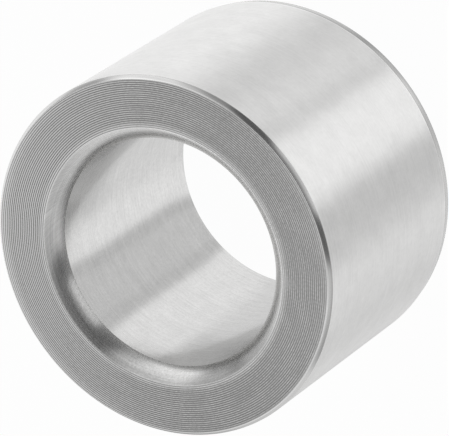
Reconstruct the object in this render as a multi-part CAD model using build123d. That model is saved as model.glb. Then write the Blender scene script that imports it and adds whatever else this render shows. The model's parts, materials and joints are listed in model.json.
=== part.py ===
from build123d import *
import math
import os

# Centering bushing: one steel ring, turned all over, with the outside and the bore ground
# after turning. The axis is +Z. The ring stands on its plain end at Z = 0, and the wide
# lead-in that guides a pin into the bore opens upwards at the other end.
# All sizes are in millimetres.

# Main sizes: the wall stands round the bore, which makes the outside 26 mm across
bore_diameter = 16.5
wall_thickness = 4.75
length = 18.0

# Lead-in at the mouth of the bore: as deep as it is wide, and crowned a little over a straight
# 45 degree cone, so that it grows steeper towards the bore
lead_in_depth = 1.1
lead_in_width = 1.1
lead_in_crown = 0.12

# Chamfer round the lead-in end: a little longer than it is deep
chamfer_length = 0.30
chamfer_depth = 0.25

# Press-in chamfer round the plain end: long and shallow, to lead the bushing into its hole
press_in_length = 0.80
press_in_depth = 0.14

# Small break where the bore leaves through the plain end
exit_break = 0.15

# Deburred corners are rounded to these radii
face_corner_radius = 0.12
ground_corner_radius = 0.08
bore_corner_radius = 0.03

# Radii and heights that follow from the sizes above
bore_radius = bore_diameter / 2
outer_radius = bore_radius + wall_thickness
face_outer_radius = outer_radius - chamfer_depth
plain_outer_radius = outer_radius - press_in_depth
lead_in_radius = bore_radius + lead_in_width
exit_radius = bore_radius + exit_break


def section_corners():
    """Corners of one side of the ring's section, anticlockwise, each with its rounding."""
    return [
        (exit_radius, 0, bore_corner_radius),
        (plain_outer_radius, 0, face_corner_radius),
        (outer_radius, press_in_length, ground_corner_radius),
        (outer_radius, length - chamfer_length, ground_corner_radius),
        (face_outer_radius, length, face_corner_radius),
        (lead_in_radius, length, face_corner_radius),
        (bore_radius, length - lead_in_depth, bore_corner_radius),
        (bore_radius, exit_break, bore_corner_radius),
    ]


def section():
    """Half section of the ring, in the XZ plane, with every corner rounded."""
    corners = section_corners()
    points = [(radius, height) for radius, height, rounding in corners]
    mouth, throat = points[5], points[6]
    rise = lead_in_crown * math.sqrt(0.5)
    crown = ((mouth[0] + throat[0]) / 2 - rise, (mouth[1] + throat[1]) / 2 + rise)
    outline = Polyline(*points[6:], *points[:6]) + ThreePointArc(mouth, crown, throat)
    face = make_face(outline)
    for radius, height, rounding in corners:
        corner = face.vertices().sort_by_distance(Vector(radius, height, 0))[0]
        face = fillet(corner, rounding)
    return Plane.XZ * face


def centering_bushing():
    """The section turned once round the axis."""
    return revolve(section(), axis=Axis.Z, revolution_arc=360)


os.makedirs("parts", exist_ok=True)
export_step(centering_bushing(), "parts/centering_bushing.step")
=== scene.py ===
import json
import math
import random

import bmesh
import bpy
from mathutils import Matrix, Vector


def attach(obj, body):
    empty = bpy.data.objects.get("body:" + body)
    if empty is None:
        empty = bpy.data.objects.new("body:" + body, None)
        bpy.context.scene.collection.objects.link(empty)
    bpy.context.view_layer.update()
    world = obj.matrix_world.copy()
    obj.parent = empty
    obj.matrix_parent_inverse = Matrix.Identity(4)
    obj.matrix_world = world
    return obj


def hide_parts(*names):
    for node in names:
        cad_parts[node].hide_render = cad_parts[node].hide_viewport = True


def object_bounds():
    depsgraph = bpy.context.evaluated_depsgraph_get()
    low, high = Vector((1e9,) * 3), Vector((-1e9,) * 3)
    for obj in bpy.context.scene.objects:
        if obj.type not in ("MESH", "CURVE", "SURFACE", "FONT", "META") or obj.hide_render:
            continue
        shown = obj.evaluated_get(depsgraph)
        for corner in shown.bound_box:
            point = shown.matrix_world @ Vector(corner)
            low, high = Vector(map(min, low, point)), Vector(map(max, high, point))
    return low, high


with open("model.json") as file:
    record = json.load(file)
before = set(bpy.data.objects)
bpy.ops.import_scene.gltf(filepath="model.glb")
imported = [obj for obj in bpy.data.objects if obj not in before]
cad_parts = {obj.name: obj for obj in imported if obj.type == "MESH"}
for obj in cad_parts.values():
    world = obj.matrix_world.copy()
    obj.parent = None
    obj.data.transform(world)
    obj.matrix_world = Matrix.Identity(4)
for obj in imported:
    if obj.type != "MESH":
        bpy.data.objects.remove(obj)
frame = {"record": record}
cad_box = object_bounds()

MM = 0.001
DEGREES = 180 / math.pi

# Sizes of the bushing in metres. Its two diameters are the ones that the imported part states.
mounts = {mount["name"]: mount for mount in frame["record"]["mounts"]}
bore_radius = mounts["bore"]["dims"]["r_mm"] * MM
outer_radius = mounts["outside"]["dims"]["r_mm"] * MM
length = cad_box[1].z
lead_in_depth = 1.1 * MM
lead_in_width = 1.1 * MM
lead_in_crown = 0.12 * MM
chamfer_length = 0.30 * MM
chamfer_depth = 0.25 * MM
press_in_length = 0.80 * MM
press_in_depth = 0.14 * MM
exit_break = 0.15 * MM

# Rounding of the deburred corners
face_rounding = 0.12 * MM
ground_rounding = 0.08 * MM
bore_rounding = 0.03 * MM
rounding_segments = 4

# Facing rings that the lathe tool leaves on the ends: how far apart and how deep they are, the
# share by which their depth varies, the points across each, and the least gap between those
# points and a corner, as a share of their spacing
ring_pitch = 0.15 * MM
ring_depth = 0.006 * MM
ring_depth_spread = 0.25
ring_steps = 4
ring_margin = 0.3
ring_seed = 26

# Sides of the end faces, as azimuths: where painted light makes them palest, where the painted
# highlights on their ring crests are strongest, and where their outer and inner edges are worn
# matt and painted paler most
face_painted_light_side = 40
ring_highlight_side = 60
outer_rub_and_light_side = 65
inner_rub_and_light_side = -110

# The side on which painted light makes the lead-in palest, and the one on which painted shade
# makes the chamfers darkest, as it does on the side opposite
lead_in_painted_light_side = -85
chamfer_painted_shade_side = -70

# Places for the shaders, in millimetres: the radii of the end face's two corners, and the height
# of the corner between the outside and the press-in chamfer
lead_in_edge = (bore_radius + lead_in_width) / MM
face_edge = (outer_radius - chamfer_depth) / MM
press_in_edge = press_in_length / MM

# Widths of what the shaders draw along those corners, and how far the rim and the shade beside
# the press-in chamfer's corner stand off it, in millimetres
inner_rub_and_light_width = 0.5
outer_rub_and_light_width = 0.9
lead_in_highlight_width = 0.1
chamfer_highlight_width = 0.08
rim_offset = 0.08
rim_width = 0.08
shade_width = 0.14

# Distances from the lead-in's outer corner between which its tone changes, where the painted light
# on one side grows stronger towards that corner, in millimetres
lead_in_tone_start = 1.0
lead_in_tone_end = 0.5

# Two darker patches of painted shade at the mouth of the bore, each with its azimuth and the
# cosine of its half width, and the heights in millimetres between which they come in
mouth_shade_patches = [(22, 0.8), (152, 0.93)]
mouth_shade_start = 9.0
mouth_shade_end = 15.0

# Heights of a face's normal, up or down, that tell the finishes apart: above the first the face
# belongs to an end, and below the second to an upright wall
end_normal = 0.95
wall_normal = 0.02

# Shares of green and blue in the steel's grey, which make it slightly warm
steel_green = 0.997
steel_blue = 0.99

# Divisions of the turned shape, and how close its points have to be to become one, in metres
turn_steps = 320
ground_steps = 6
lead_in_steps = 8
weld_distance = 1e-7

# Camera: a long lens that looks down on the lead-in, rolled over as in the photograph
camera_elevation = 54.565
camera_roll = -124.06
camera_distance = 346.35 * MM
camera_aim = Vector((-0.152, 0.115, 9.082)) * MM
camera_lens = 399.6

# The table: its radius in metres, its grey, and the share of it that is plain white to the
# camera, while the rest takes the shadow
floor_radius = 3.0
floor_grey = 0.9
floor_white_share = 0.97

# The tent: its plain level, then the panels that change it. Each has its azimuth and half width,
# its elevation and half height, and the softness of its edges in degrees, then the change.
# The first group is seen in the end face, the lead-in and the chamfer, and the second in the
# outside and the press-in chamfer.
tent_level = 0.71
tent_panels = [
    (-94, 46, 42, 36, 5, -0.58),
    (-95, 20, 11, 16, 4, 0.7),
    (-126, 10, 68, 8, 4, 0.2),
    (-34, 20, 64, 11, 5, -0.35),
    (12, 26, 52, 10, 6, -0.2),
    (30, 16, 31, 9, 5, -0.3),
    (62, 14, 42, 7, 4, 0.25),
    (0, 200, 88, 9, 4, 0.3),
    (-12, 22, 31, 12, 6, 0.22),
    (-40, 9, 14, 14, 5, -0.3),
    (92, 38, 62, 15, 8, -0.25),
    (112, 14, 44, 8, 6, -0.2),
    (165, 25, 30, 14, 8, -0.15),
    (-156, 12, 48, 18, 6, -0.22),
    (54, 20, 17, 12, 5, -0.3),
    (28, 12, 6, 10, 4, -0.35),
    (-5, 16, 9, 12, 5, 0.48),
    (56, 24, -14, 11, 5, 0.3),
    (85, 25, 16, 12, 8, 0.35),
    (-164, 24, 0, 12, 6, -0.35),
    (112, 21, -38, 12, 5, -0.35),

    (38, 51, -52, 24, 4, 0.44),
    (-25, 13, -52, 24, 4, 0.15),
    (-50, 11, -52, 24, 4, 0.3),
    (-66, 6, -52, 24, 3, 0.12),
    (-94, 22, -54, 28, 4, 0.48),
    (-170, 18, -52, 24, 4, 0.3),
    (130, 35, -52, 24, 4, 0.16),
    (82, 9, -50, 20, 4, 0.12),
    (99, 6, -54, 20, 3, -0.22),
    (2, 24, -72, 8, 4, -0.3),
]

# The sleeve: its plain level, then azimuth, half width, softness and change of its panels
sleeve_radius = 8.4 * MM
sleeve_depth = 40 * MM
sleeve_gap = 0.2 * MM
sleeve_level = 0.94
sleeve_panels = [
    (-98, 52, 5, -0.28),
    (-140, 10, 4, -0.08),
    (-61, 9, 4, -0.06),
    (100, 58, 12, -0.1),
]


def lead_in_points():
    """Points of the lead-in between its two corners: a slightly crowned slope into the bore."""
    points = []
    for step in range(1, lead_in_steps):
        part = step / lead_in_steps
        crown = lead_in_crown * 4 * part * (1 - part) * math.sqrt(0.5)
        radius = bore_radius + lead_in_width * (1 - part) - crown
        points.append((radius, length - lead_in_depth * part + crown, 0))
    return points


def section_corners():
    """Corners of one side of the section, anticlockwise, each with its rounding."""
    return [
        (bore_radius + exit_break, 0, bore_rounding),
        (outer_radius - press_in_depth, 0, face_rounding),
        (outer_radius, press_in_length, ground_rounding),
        (outer_radius, length - chamfer_length, ground_rounding),
        (outer_radius - chamfer_depth, length, face_rounding),
        (bore_radius + lead_in_width, length, face_rounding),
        *lead_in_points(),
        (bore_radius, length - lead_in_depth, bore_rounding),
        (bore_radius, exit_break, bore_rounding),
    ]


def round_corner(bm, corner, rounding):
    """Rounds one corner of the flat section to a radius."""
    along = [(edge.other_vert(corner).co - corner.co).normalized() for edge in corner.link_edges]
    turn = math.pi - along[0].angle(along[1])
    bmesh.ops.bevel(
        bm,
        geom=[corner],
        offset=rounding * math.tan(turn / 2),
        offset_type="OFFSET",
        affect="VERTICES",
        segments=rounding_segments,
        profile=0.5,
        material=-1,
    )


def straight(bm, start, end):
    """The edge of the section that lies along the line from start to end."""
    middle = (Vector(start) + Vector(end)) / 2

    def distance(edge):
        return ((edge.verts[0].co + edge.verts[1].co) / 2 - middle).length

    return min(bm.edges, key=distance)


def cut_rings(bm, start, end, inward, luck):
    """Cuts facing rings into a face line of the section: hollows between sharp crests.

    The crests stand at whole multiples of the pitch, where the face's shader paints highlights on
    them.
    """
    line = straight(bm, start, end)
    first, last = sorted(vert.co.x for vert in line.verts)
    step = ring_pitch / ring_steps
    first_mark = math.ceil(first / step + ring_margin)
    last_mark = math.floor(last / step - ring_margin)
    marks = range(first_mark, last_mark + 1)
    cut = bmesh.ops.subdivide_edges(bm, edges=[line], cuts=len(marks))["geom_inner"]
    inside = [item for item in cut if isinstance(item, bmesh.types.BMVert)]
    depth = ring_depth
    for vert, mark in zip(sorted(inside, key=lambda vert: vert.co.x), marks):
        place = mark % ring_steps / ring_steps
        if place == 0:
            depth = ring_depth * luck.uniform(1 - ring_depth_spread, 1 + ring_depth_spread)
        vert.co.x = mark * step
        vert.co.z += inward * depth * 4 * place * (1 - place)


def bushing_mesh():
    """The section drawn flat, rounded, ringed on its ends, and spun round the axis."""
    bm = bmesh.new()
    corners = section_corners()
    verts = [bm.verts.new((radius, 0, height)) for radius, height, rounding in corners]
    bmesh.ops.contextual_create(bm, geom=verts)
    for vert, (radius, height, rounding) in zip(verts, corners):
        if rounding:
            round_corner(bm, vert, rounding)
    bmesh.ops.delete(bm, geom=bm.faces[:], context="FACES_ONLY")

    points = [Vector((radius, 0, height)) for radius, height, rounding in corners]
    bore_exit, plain_rim, ground_foot, ground_top, face_rim, face_mouth = points[:6]
    bore_mouth, bore_foot = points[-2:]
    luck = random.Random(ring_seed)
    for start, end in ((ground_foot, ground_top), (bore_mouth, bore_foot)):
        bmesh.ops.subdivide_edges(bm, edges=[straight(bm, start, end)], cuts=ground_steps - 1)
    cut_rings(bm, bore_exit, plain_rim, 1, luck)
    cut_rings(bm, face_mouth, face_rim, -1, luck)

    bmesh.ops.spin(
        bm,
        geom=bm.verts[:] + bm.edges[:],
        cent=(0, 0, 0),
        axis=(0, 0, 1),
        dvec=(0, 0, 0),
        angle=math.tau,
        steps=turn_steps,
        use_merge=True,
    )
    bmesh.ops.remove_doubles(bm, verts=bm.verts[:], dist=weld_distance)
    bmesh.ops.recalc_face_normals(bm, faces=bm.faces[:])
    return bm


class Value:
    """A number that changes over a surface: it takes part in sums as a plain number does."""

    def __init__(self, shop, socket):
        self.shop = shop
        self.socket = socket

    def maths(self, operation, *inputs):
        """The outcome of a Math node."""
        return self.shop.add("ShaderNodeMath", {"operation": operation}, *inputs).out()

    def __add__(self, other):
        return self.maths("ADD", self, other)

    def __radd__(self, other):
        return self.maths("ADD", other, self)

    def __sub__(self, other):
        return self.maths("SUBTRACT", self, other)

    def __rsub__(self, other):
        return self.maths("SUBTRACT", other, self)

    def __mul__(self, other):
        return self.maths("MULTIPLY", self, other)

    def __rmul__(self, other):
        return self.maths("MULTIPLY", other, self)

    def __truediv__(self, other):
        return self.maths("DIVIDE", self, other)

    def __rtruediv__(self, other):
        return self.maths("DIVIDE", other, self)

    def __pow__(self, other):
        return self.maths("POWER", self, other)


class Node:
    """A node and the shop it stands in."""

    def __init__(self, shop, node):
        self.shop = shop
        self.node = node

    def out(self, name=0):
        """One of its outcomes, by name or by number."""
        return Value(self.shop, self.node.outputs[name])


class Shop:
    """Builds the nodes of one material or of the studio."""

    def __init__(self, tree):
        self.tree = tree
        tree.nodes.clear()

    def add(self, kind, settings=None, *inputs, **named):
        """Adds a node: its settings come first, then the values or links of its sockets."""
        node = self.tree.nodes.new(kind)
        for key, value in (settings or {}).items():
            setattr(node, key, value)
        sockets = list(enumerate(inputs))
        sockets += [(name.replace("_", " "), value) for name, value in named.items()]
        for key, value in sockets:
            if isinstance(value, Value):
                self.tree.links.new(value.socket, node.inputs[key])
            else:
                node.inputs[key].default_value = value
        return Node(self, node)

    def combine(self, x, y, z):
        """A vector or a colour of three values."""
        return self.add("ShaderNodeCombineXYZ", None, x, y, z).out()

    def smooth(self, value, low, high):
        """0 below low, 1 above high, and a soft step between."""
        settings = {"interpolation_type": "SMOOTHSTEP"}
        return self.add("ShaderNodeMapRange", settings, value, low, high, 0.0, 1.0).out()

    def azimuth(self, x, y):
        """Angle about the axis in degrees, from -180 to 180."""
        return x.maths("ARCTAN2", y, x) * DEGREES

    def window(self, angle, middle, half, soft):
        """1 within half of the middle angle, and 0 outside it, with a soft edge."""
        turned = (angle - middle + 180).maths("FLOORED_MODULO", angle - middle + 180, 360)
        off = (turned - 180).maths("ABSOLUTE", turned - 180)
        return self.smooth(off, half + soft, half - soft)


class Steel(Shop):
    """The shader of one finish, with the place on the bushing in millimetres round its axis."""

    def __init__(self, name):
        self.material = bpy.data.materials.new(name)
        self.material.use_nodes = True
        super().__init__(self.material.node_tree)
        place = self.add("ShaderNodeTexCoord").out("Object")
        split = self.add("ShaderNodeSeparateXYZ", None, place)
        self.x = split.out("X") / MM
        self.y = split.out("Y") / MM
        self.z = split.out("Z") / MM
        self.radius = (self.x * self.x + self.y * self.y) ** 0.5
        self.east = self.x / self.radius
        self.north = self.y / self.radius

    def noise(self, around, outward, along, detail=2.0):
        """Noise from 0 to 1: features a radian, a millimetre outwards and a millimetre along."""
        vector = self.combine(
            self.east * around + self.radius * outward,
            self.north * around - self.radius * outward,
            self.z * along,
        )
        noise = self.add("ShaderNodeTexNoise", None, vector, Scale=1.0, Detail=detail, Roughness=0.55)
        return noise.out()

    def bump(self, height, distance):
        """The surface raised by that distance where the height is 1."""
        return self.add("ShaderNodeBump", None, Strength=1.0, Distance=distance, Height=height).out()

    def towards(self, azimuth):
        """1 on the side of that azimuth, and -1 on the opposite side."""
        turn = math.radians(azimuth)
        return self.east * math.cos(turn) + self.north * math.sin(turn)

    def ridges(self):
        """1 on the crests of the facing rings, and -1 in the hollows."""
        turns = self.radius * (math.tau * MM / ring_pitch)
        return turns.maths("COSINE", turns)

    def near(self, value, place, reach):
        """1 where the value is close to the place, fading to 0 at that reach from it."""
        off = (value - place).maths("ABSOLUTE", value - place)
        close = reach * 0.3
        return self.smooth(off, reach, close)

    def grey(self, value):
        """A grey of that value, with the steel's slight warmth."""
        return self.combine(value, value * steel_green, value * steel_blue)

    def finish(self, colour, roughness, normal, anisotropic, grazing=1.0):
        """The steel's shader, blurred across the lines that run round the part."""
        shader = self.add(
            "ShaderNodeBsdfPrincipled",
            None,
            Base_Color=colour,
            Metallic=1.0,
            Roughness=roughness,
            Anisotropic=anisotropic,
            Anisotropic_Rotation=0.25,
            Specular_Tint=(grazing, grazing, grazing, 1),
            Normal=normal,
        )
        self.add("ShaderNodeOutputMaterial", None, Surface=shader.out("BSDF"))
        return self.material


def turned_face():
    """End faces: sharp facing rings with painted highlights on their crests, worn matt towards both
    edges and painted paler there, each more on one side, and painted paler on one side and the side
    opposite.
    """
    shop = Steel("turned_face")
    lines = shop.noise(1.5, 6.0, 0.0, 3.0)
    patches = shop.noise(5.0, 0.5, 0.0)
    side = shop.towards(face_painted_light_side)
    outer = shop.towards(outer_rub_and_light_side)
    inner = shop.towards(inner_rub_and_light_side)
    inner_edge = shop.smooth(shop.radius, lead_in_edge + inner_rub_and_light_width, lead_in_edge)
    outer_edge = shop.smooth(shop.radius, face_edge - outer_rub_and_light_width, face_edge)
    # Rougher from wear towards both edges, and painted paler there as painted light, more on one side
    # of each edge
    rubbed_and_painted_light = inner_edge * (0.9 + 0.25 * inner) + outer_edge * outer * (0.4 + 0.7 * outer)
    grain = shop.noise(60.0, 7.0, 0.0, 1.0)
    # Strength of the painted highlights on the ring crests and the painted shade in their hollows,
    # greatest on one side
    cut = 0.50 + 0.16 * shop.towards(ring_highlight_side) + 0.5 * (patches - 0.5) + 0.8 * (grain - 0.5)
    # Painted light: the face is paler towards one side and the side opposite
    tone = 0.59 + 0.06 * side + 0.08 * side * side
    tone = tone + 0.12 * (patches - 0.5) + 0.16 * (lines - 0.5) + 0.26 * (grain - 0.5)
    # Painted highlight on the ring crests and painted shade in the hollows
    tone = tone * (1 + cut * shop.ridges())
    roughness = 0.24 + 0.10 * (lines - 0.5) + 0.20 * rubbed_and_painted_light
    normal = shop.bump(lines, 0.002 * MM)
    # The paler edges are painted light
    return shop.finish(shop.grey(tone + 0.14 * rubbed_and_painted_light), roughness, normal, 0.3)


def ground_outside():
    """Outside: cylindrical grinding, with fine lines round the part."""
    shop = Steel("ground_outside")
    lines = shop.noise(2.0, 0.0, 9.0, 3.0)
    patches = shop.noise(9.0, 0.0, 0.8, 3.0)
    grain = shop.noise(45.0, 0.0, 4.0)
    rim = shop.near(shop.z, press_in_edge + rim_offset, rim_width)
    tone = 0.78 + 0.14 * (lines - 0.5) + 0.14 * (patches - 0.5) + 0.10 * (grain - 0.5)
    colour = shop.grey(tone + 0.05 * rim)
    roughness = 0.30 + 0.08 * (lines - 0.5)
    normal = shop.bump(lines, 0.001 * MM)
    return shop.finish(colour, roughness, normal, 0.9)


def honed_bore():
    """Bore: finer than the outside, nearly a mirror along its length, with painted shade at its mouth
    on two sides.
    """
    shop = Steel("honed_bore")
    lines = shop.noise(2.5, 0.0, 6.0, 3.0)
    patches = shop.noise(7.0, 0.0, 0.8, 3.0)
    grain = shop.noise(40.0, 0.0, 5.0)
    sides = sum(shop.smooth(shop.towards(side), edge, 1.0) for side, edge in mouth_shade_patches)
    mouth = shop.smooth(shop.z, mouth_shade_start, mouth_shade_end) * sides
    tone = 0.76 + 0.18 * (lines - 0.5) + 0.12 * (patches - 0.5) + 0.16 * (grain - 0.5)
    # Painted shade at the mouth on two sides
    tone = tone - 0.20 * mouth
    roughness = 0.16 + 0.06 * (lines - 0.5)
    normal = shop.bump(lines, 0.001 * MM)
    return shop.finish(shop.grey(tone), roughness, normal, 0.5, 0.85)


def turned_lead_in():
    """Lead-in: turned with a fine feed, with a painted highlight along its corner with the face, and
    painted light on one side.
    """
    shop = Steel("turned_lead_in")
    lines = shop.noise(2.5, 9.0, 0.0, 3.0)
    grain = shop.noise(50.0, 6.0, 0.0)
    # Painted highlight along the lead-in's corner with the face
    painted_corner_highlight = shop.near(shop.radius, lead_in_edge, lead_in_highlight_width)
    side = shop.towards(lead_in_painted_light_side)
    start = lead_in_edge - lead_in_tone_start
    end = lead_in_edge - lead_in_tone_end
    outer_part = shop.smooth(shop.radius, start, end)
    # Painted light: paler towards one side, more so towards the outer corner, with the grain fainter
    # there
    tone = 0.81 + (0.05 + 0.09 * outer_part) * side
    tone = tone + 0.40 * (lines - 0.5) + (0.30 - 0.12 * side) * (grain - 0.5)
    colour = shop.grey(tone + 0.25 * painted_corner_highlight)
    roughness = 0.27 + 0.08 * (lines - 0.5)
    normal = shop.bump(lines, 0.001 * MM)
    return shop.finish(colour, roughness, normal, 0.7)


def turned_chamfer():
    """Chamfers: turned smoother than the faces, with a painted highlight along their corners with
    them, and painted shade on one side and the side opposite.
    """
    shop = Steel("turned_chamfer")
    lines = shop.noise(4.0, 6.0, 0.0, 3.0)
    # Painted highlight along the chamfer's corner with the face
    painted_corner_highlight = shop.near(shop.radius, face_edge, chamfer_highlight_width)
    shade = shop.near(shop.z, press_in_edge - rim_offset, shade_width)
    side = shop.towards(chamfer_painted_shade_side)
    # Painted shade: darker on one side and on the side opposite
    tone = 0.80 - 0.23 * side * side + 0.25 * (lines - 0.5)
    colour = shop.grey(tone + 0.22 * painted_corner_highlight - 0.08 * shade)
    roughness = 0.20 + 0.08 * (lines - 0.5)
    normal = shop.bump(lines, 0.001 * MM)
    return shop.finish(colour, roughness, normal, 0.5, 0.8)


finishes = [turned_face, ground_outside, honed_bore, turned_lead_in, turned_chamfer]


def zone(face):
    """Which finish a face of the turned shape takes, by its slope and its place."""
    middle = face.calc_center_median()
    outward = math.hypot(middle.x, middle.y) > (bore_radius + outer_radius) / 2
    if abs(face.normal.z) > end_normal:
        return finishes.index(turned_face)
    if abs(face.normal.z) > wall_normal:
        return finishes.index(turned_chamfer if outward else turned_lead_in)
    return finishes.index(ground_outside if outward else honed_bore)


def make_bushing():
    """The finished bushing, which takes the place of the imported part's one node."""
    bm = bushing_mesh()
    for face in bm.faces:
        face.smooth = True
        face.material_index = zone(face)
    mesh = bpy.data.meshes.new("turned_bushing")
    bm.to_mesh(mesh)
    bm.free()
    for finish in finishes:
        mesh.materials.append(finish())
    piece = bpy.data.objects.new("turned_bushing", mesh)
    bpy.context.scene.collection.objects.link(piece)
    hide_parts("centering_bushing")
    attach(piece, "root")


def make_floor():
    """A white table with a faint shadow, which the metal doesn't mirror."""
    bm = bmesh.new()
    bmesh.ops.create_circle(bm, cap_ends=True, radius=floor_radius, segments=64)
    mesh = bpy.data.meshes.new("floor")
    bm.to_mesh(mesh)
    bm.free()
    floor = bpy.data.objects.new("floor", mesh)
    bpy.context.scene.collection.objects.link(floor)
    material = bpy.data.materials.new("white_table")
    material.use_nodes = True
    shop = Shop(material.node_tree)
    matt = shop.add("ShaderNodeBsdfDiffuse", None, Color=(floor_grey, floor_grey, floor_grey, 1)).out()
    glow = shop.add("ShaderNodeEmission", None, Color=(1, 1, 1, 1), Strength=1.0).out()
    camera_ray = shop.add("ShaderNodeLightPath").out("Is Camera Ray")
    seen = shop.add("ShaderNodeMixShader", None, camera_ray * floor_white_share, matt, glow).out()
    shop.add("ShaderNodeOutputMaterial", None, Surface=seen)
    mesh.materials.append(material)
    floor.visible_glossy = False
    floor.visible_shadow = False


def make_studio():
    """Light comes from a pale tent with soft panels. It is dark where the camera looks in."""
    world = bpy.data.worlds.new("tent")
    bpy.context.scene.world = world
    world.use_nodes = True
    shop = Shop(world.node_tree)
    ray = shop.add("ShaderNodeTexCoord").out("Generated")
    direction = shop.add("ShaderNodeSeparateXYZ", None, ray)
    azimuth = shop.azimuth(direction.out("X"), direction.out("Y"))
    elevation = direction.out("Z").maths("ARCSINE", direction.out("Z")) * DEGREES
    level = tent_level
    for middle, width, height, top, soft, change in tent_panels:
        across = shop.window(azimuth, middle, width, soft)
        upright = shop.window(elevation, height, top, soft)
        level = level + change * across * upright
    colour = shop.combine(level, level, level)
    tent = shop.add("ShaderNodeBackground", None, Color=colour).out()
    white = shop.add("ShaderNodeBackground", None, Color=(1, 1, 1, 1)).out()
    camera_ray = shop.add("ShaderNodeLightPath").out("Is Camera Ray")
    seen = shop.add("ShaderNodeMixShader", None, camera_ray, tent, white).out()
    shop.add("ShaderNodeOutputWorld", None, Surface=seen)


def make_sleeve():
    """A pale sleeve under the table, darker on one side, that the bore mirrors."""
    bm = bmesh.new()
    bmesh.ops.create_circle(bm, cap_ends=False, radius=sleeve_radius, segments=96)
    bmesh.ops.translate(bm, verts=bm.verts[:], vec=(0, 0, -sleeve_depth))
    grown = bmesh.ops.extrude_edge_only(bm, edges=bm.edges[:])["geom"]
    raised = [item for item in grown if isinstance(item, bmesh.types.BMVert)]
    bmesh.ops.translate(bm, verts=raised, vec=(0, 0, sleeve_depth - sleeve_gap))
    mesh = bpy.data.meshes.new("sleeve")
    bm.to_mesh(mesh)
    bm.free()
    sleeve = bpy.data.objects.new("sleeve", mesh)
    bpy.context.scene.collection.objects.link(sleeve)
    material = bpy.data.materials.new("pale_sleeve")
    material.use_nodes = True
    shop = Shop(material.node_tree)
    place = shop.add("ShaderNodeTexCoord").out("Object")
    split = shop.add("ShaderNodeSeparateXYZ", None, place)
    azimuth = shop.azimuth(split.out("X"), split.out("Y"))
    level = sleeve_level
    for middle, width, soft, change in sleeve_panels:
        level = level + change * shop.window(azimuth, middle, width, soft)
    glow = shop.add("ShaderNodeEmission", None, Color=(1, 1, 1, 1), Strength=level).out()
    shop.add("ShaderNodeOutputMaterial", None, Surface=glow)
    mesh.materials.append(material)
    sleeve.visible_camera = False
    sleeve.visible_diffuse = False
    sleeve.visible_transmission = False
    sleeve.visible_shadow = False


def make_camera():
    """The camera of the photograph: a long lens, far away."""
    data = bpy.data.cameras.new("camera")
    data.lens = camera_lens
    data.clip_start = 0.01
    data.clip_end = 20.0
    camera = bpy.data.objects.new("camera", data)
    bpy.context.scene.collection.objects.link(camera)
    tilt = Matrix.Rotation(math.radians(90 - camera_elevation), 4, "X")
    roll = Matrix.Rotation(math.radians(camera_roll), 4, "Z")
    backward = tilt @ Vector((0, 0, camera_distance))
    camera.matrix_world = Matrix.Translation(camera_aim + backward) @ tilt @ roll
    bpy.context.scene.camera = camera


make_bushing()
make_floor()
make_studio()
make_sleeve()
make_camera()
bpy.context.scene.view_settings.view_transform = "Standard"
